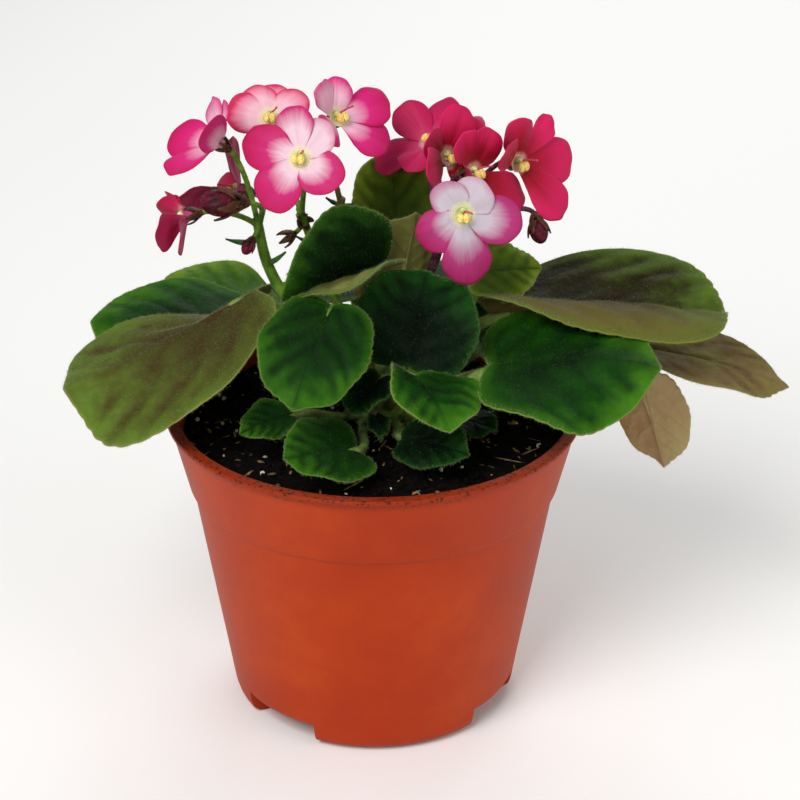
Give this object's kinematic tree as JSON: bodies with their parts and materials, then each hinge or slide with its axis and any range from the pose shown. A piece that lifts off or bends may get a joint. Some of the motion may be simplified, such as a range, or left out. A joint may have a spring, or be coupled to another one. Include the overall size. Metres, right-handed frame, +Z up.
{
  "type": "potted african violet",
  "caption": "Bushy potted plant: broad hairy leaves and short flower stalks with five-lobed pink blooms grow from one stem in a tapered plastic nursery pot that stands on low feet.",
  "frame": {"origin": "under the middle of the whole plant's bounding box, on the plane that the pot's feet stand on", "axes": "+Z up along the pot's axis, -Y towards the viewer of the picture, +X to the viewer's right, along the plant's greatest spread"},
  "size_m": [0.206, 0.1398, 0.1895],
  "materials": {
    "pot_plastic": "terracotta brown-red moulded plastic, satin, faintly mottled, darker on top of the lip",
    "potting_mix": "moist near-black peat mix with tan fibres and white perlite grains",
    "stem_green": "yellow-green stem and flower stalks with short white hairs",
    "stalk_purple": "brown-purple flower stalks and calyces with short hairs",
    "leaf_olive": "matt olive leaf with brown veins, a yellow-green margin and white hairs",
    "leaf_bright": "bright green quilted leaf with short hairs",
    "leaf_dark": "very dark green quilted leaf with short hairs",
    "leaf_underside": "pale pinkish-tan underside of a leaf with raised veins",
    "petal_magenta": "magenta petals, white towards the throat, glistening",
    "petal_pink": "pale pink and white petals with magenta edges",
    "petal_crimson": "deep crimson petals",
    "petal_lilac": "lilac petals, white towards the throat",
    "bud_maroon": "maroon unopened buds with short hairs",
    "anther_yellow": "pale yellow plump anthers with a red pistil"
  },
  "bodies": {
    "root": {"pot": "pot_plastic", "soil": "potting_mix", "crown": "stem_green", "leaf_01": "leaf_olive", "leaf_02": "leaf_bright", "leaf_03": "leaf_bright", "leaf_04": "leaf_dark", "leaf_05": "leaf_bright", "leaf_06": "leaf_dark", "leaf_07": "leaf_bright", "leaf_08": "leaf_bright", "leaf_09": "leaf_olive", "leaf_10": "leaf_olive", "leaf_11": "leaf_underside", "leaf_12": "leaf_bright", "leaf_13": "leaf_dark", "leaf_14": "leaf_underside", "leaf_15": "leaf_dark", "leaf_16": "leaf_bright", "leaf_17": "leaf_dark", "leaf_18": "leaf_bright", "leaf_19": "leaf_dark", "leaf_20": "leaf_dark", "leaf_21": "leaf_bright", "leaf_22": "leaf_bright", "leaf_23": "leaf_bright", "leaf_24": "leaf_bright", "leaf_25": "leaf_bright", "stalk_left": "stem_green", "stalk_middle": "stem_green", "stalk_centre": "stem_green", "stalk_right": "stalk_purple", "bud_01": "bud_maroon", "bud_02": "bud_maroon", "bud_03": "bud_maroon", "bloom_01": "petal_magenta", "bloom_01_anthers": "anther_yellow", "bloom_02": "petal_pink", "bloom_02_anthers": "anther_yellow", "bloom_03": "petal_pink", "bloom_03_anthers": "anther_yellow", "bloom_04": "petal_magenta", "bloom_04_anthers": "anther_yellow", "bloom_05": "petal_crimson", "bloom_05_anthers": "anther_yellow", "bloom_06": "petal_magenta", "bloom_06_anthers": "anther_yellow", "bloom_07": "petal_crimson", "bloom_07_anthers": "anther_yellow", "bloom_08": "petal_crimson", "bloom_08_anthers": "anther_yellow", "bloom_09": "petal_crimson", "bloom_09_anthers": "anther_yellow", "bloom_10": "petal_lilac", "bloom_10_anthers": "anther_yellow", "bloom_11": "petal_crimson", "bloom_11_anthers": "anther_yellow"}
  },
  "joints": []
}
